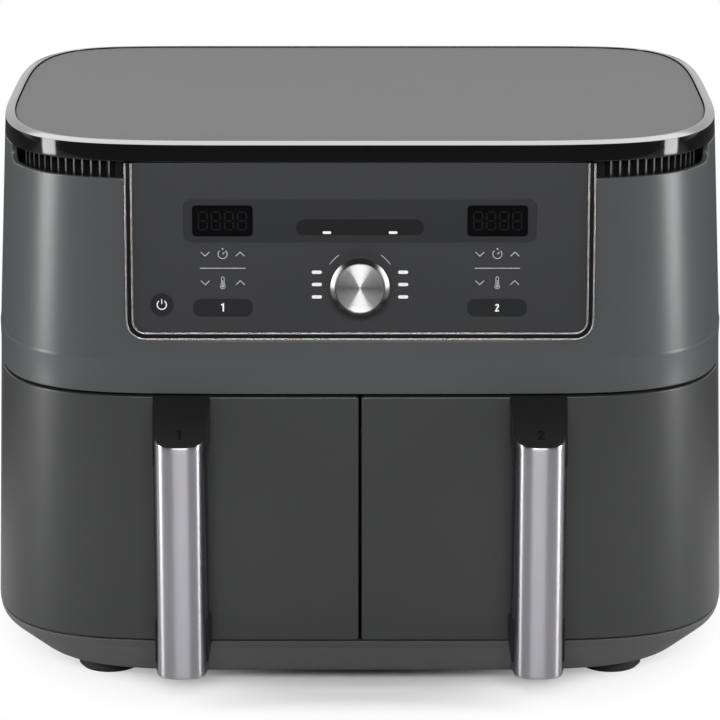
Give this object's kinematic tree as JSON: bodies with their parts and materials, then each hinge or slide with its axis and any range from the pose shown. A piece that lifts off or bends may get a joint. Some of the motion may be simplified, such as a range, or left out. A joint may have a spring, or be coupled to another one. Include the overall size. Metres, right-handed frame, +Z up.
{
  "type": "air fryer",
  "caption": "Twin-drawer air fryer: tapered round-cornered casing, flat control panel with a press dial, two pull-out baskets on upright grips, and hot-air fans inside.",
  "frame": {"origin": "on the table, under the centre of the whole object's bounding box, handles and cord inlet included", "axes": "+Z up, the front with the drawers and the panel faces -Y, +X to the right as seen from the front"},
  "size_m": [0.415, 0.35, 0.305],
  "materials": {
    "casing_grey": "satin dark grey casing",
    "base_grey": "satin dark grey base",
    "drawer_grey": "satin dark grey drawer front",
    "rear_black": "fine-grained black rear cover",
    "rubber": "matt black",
    "screw_steel": "plated steel",
    "trim_black": "gloss black with a polished bevel",
    "lid_grey": "satin grey",
    "vent_black": "gloss black",
    "bezel_chrome": "bright lines with a black groove",
    "fascia_grey": "satin graphite with printed marks",
    "lens_dark": "smoked display window",
    "module_dark": "black",
    "board_green": "solder mask",
    "component_dark": "moulded components",
    "encoder_metal": "plated",
    "dial_metal": "spun face, polished side",
    "frame_black": "black moulding",
    "divider_board": "mineral-filled insulating board",
    "sheet_metal": "aluminised sheet",
    "element_dark": "oxidised tube",
    "guard_steel": "stainless",
    "probe_brass": "plain",
    "fuse_white": "pale moulding",
    "motor_dark": "laminated stack",
    "bearing_brass": "sintered",
    "shaft_steel": "ground",
    "impeller_metal": "pressed",
    "fan_plastic": "black",
    "basket_coat": "dark non-stick coating",
    "crisper_coat": "dark non-stick coating",
    "silicone": "silicone",
    "handle_black": "satin black",
    "handle_metal": "satin with bright edges"
  },
  "bodies": {
    "housing": {"base_tray": "base_grey", "rubber_feet": "rubber", "outer_shell": "casing_grey", "rear_cover": "rear_black", "case_screws": "screw_steel", "trim_ring": "trim_black", "top_plate": "lid_grey", "vent_louvres": "vent_black", "panel_bezel": "bezel_chrome", "control_fascia": "fascia_grey", "display_lens": "lens_dark", "display_modules": "module_dark", "control_board": "board_green", "encoder_body": "encoder_metal", "bay_frame": "frame_black", "bay_divider": "divider_board", "cavity_left": "sheet_metal", "cavity_right": "sheet_metal", "bay_rails": "sheet_metal", "heater_shrouds": "sheet_metal", "exhaust_ducts": "sheet_metal", "heating_elements": "element_dark", "element_guards": "guard_steel", "temperature_sensors": "probe_brass", "thermal_fuses": "fuse_white", "drawer_switches": "component_dark", "motor_deck": "sheet_metal", "fan_motors": "motor_dark", "motor_bearings": "bearing_brass", "power_board": "board_green", "power_components": "component_dark", "cord_inlet": "rear_black"},
    "drawer_left": {"drawer_front_left": "drawer_grey", "drawer_backing_left": "frame_black", "basket_left": "basket_coat", "handle_core_left": "handle_black", "handle_cover_left": "handle_metal", "handle_screws_left": "screw_steel"},
    "crisper_left": {"crisper_plate_left": "crisper_coat", "crisper_feet_left": "silicone"},
    "fan_left": {"motor_shaft_left": "shaft_steel", "impeller_left": "impeller_metal", "cooling_fan_left": "fan_plastic"},
    "drawer_right": {"drawer_front_right": "drawer_grey", "drawer_backing_right": "frame_black", "basket_right": "basket_coat", "handle_core_right": "handle_black", "handle_cover_right": "handle_metal", "handle_screws_right": "screw_steel"},
    "crisper_right": {"crisper_plate_right": "crisper_coat", "crisper_feet_right": "silicone"},
    "fan_right": {"motor_shaft_right": "shaft_steel", "impeller_right": "impeller_metal", "cooling_fan_right": "fan_plastic"},
    "dial_carrier": {"encoder_plunger": "encoder_metal"},
    "dial": {"dial_shaft": "shaft_steel", "dial_knob": "dial_metal"}
  },
  "joints": [
    {"name": "drawer_left_slide", "type": "slide", "parent": "housing", "child": "drawer_left", "axis": [0, -1, 0], "range_m": [0, 0.21]},
    {"name": "drawer_right_slide", "type": "slide", "parent": "housing", "child": "drawer_right", "axis": [0, -1, 0], "range_m": [0, 0.21]},
    {"name": "crisper_left_lift", "type": "slide", "parent": "drawer_left", "child": "crisper_left", "axis": [0, 0, 1], "range_m": [0, 0.1]},
    {"name": "crisper_right_lift", "type": "slide", "parent": "drawer_right", "child": "crisper_right", "axis": [0, 0, 1], "range_m": [0, 0.1]},
    {"name": "fan_left_spin", "type": "hinge", "parent": "housing", "child": "fan_left", "pos_m": [-0.09798, 0.042, 0.23], "axis": [0, 0, 1], "continuous": true},
    {"name": "fan_right_spin", "type": "hinge", "parent": "housing", "child": "fan_right", "pos_m": [0.09798, 0.042, 0.23], "axis": [0, 0, 1], "continuous": true},
    {"name": "dial_press", "type": "slide", "parent": "housing", "child": "dial_carrier", "axis": [0, 0.9989, -0.0464], "range_m": [0, 0.0015], "stiffness_N_per_m": 1200, "springref_m": -0.0005},
    {"name": "dial_turn", "type": "hinge", "parent": "dial_carrier", "child": "dial", "pos_m": [0, -0.13081, 0.2279], "axis": [0, -0.9989, 0.0464], "continuous": true}
  ]
}
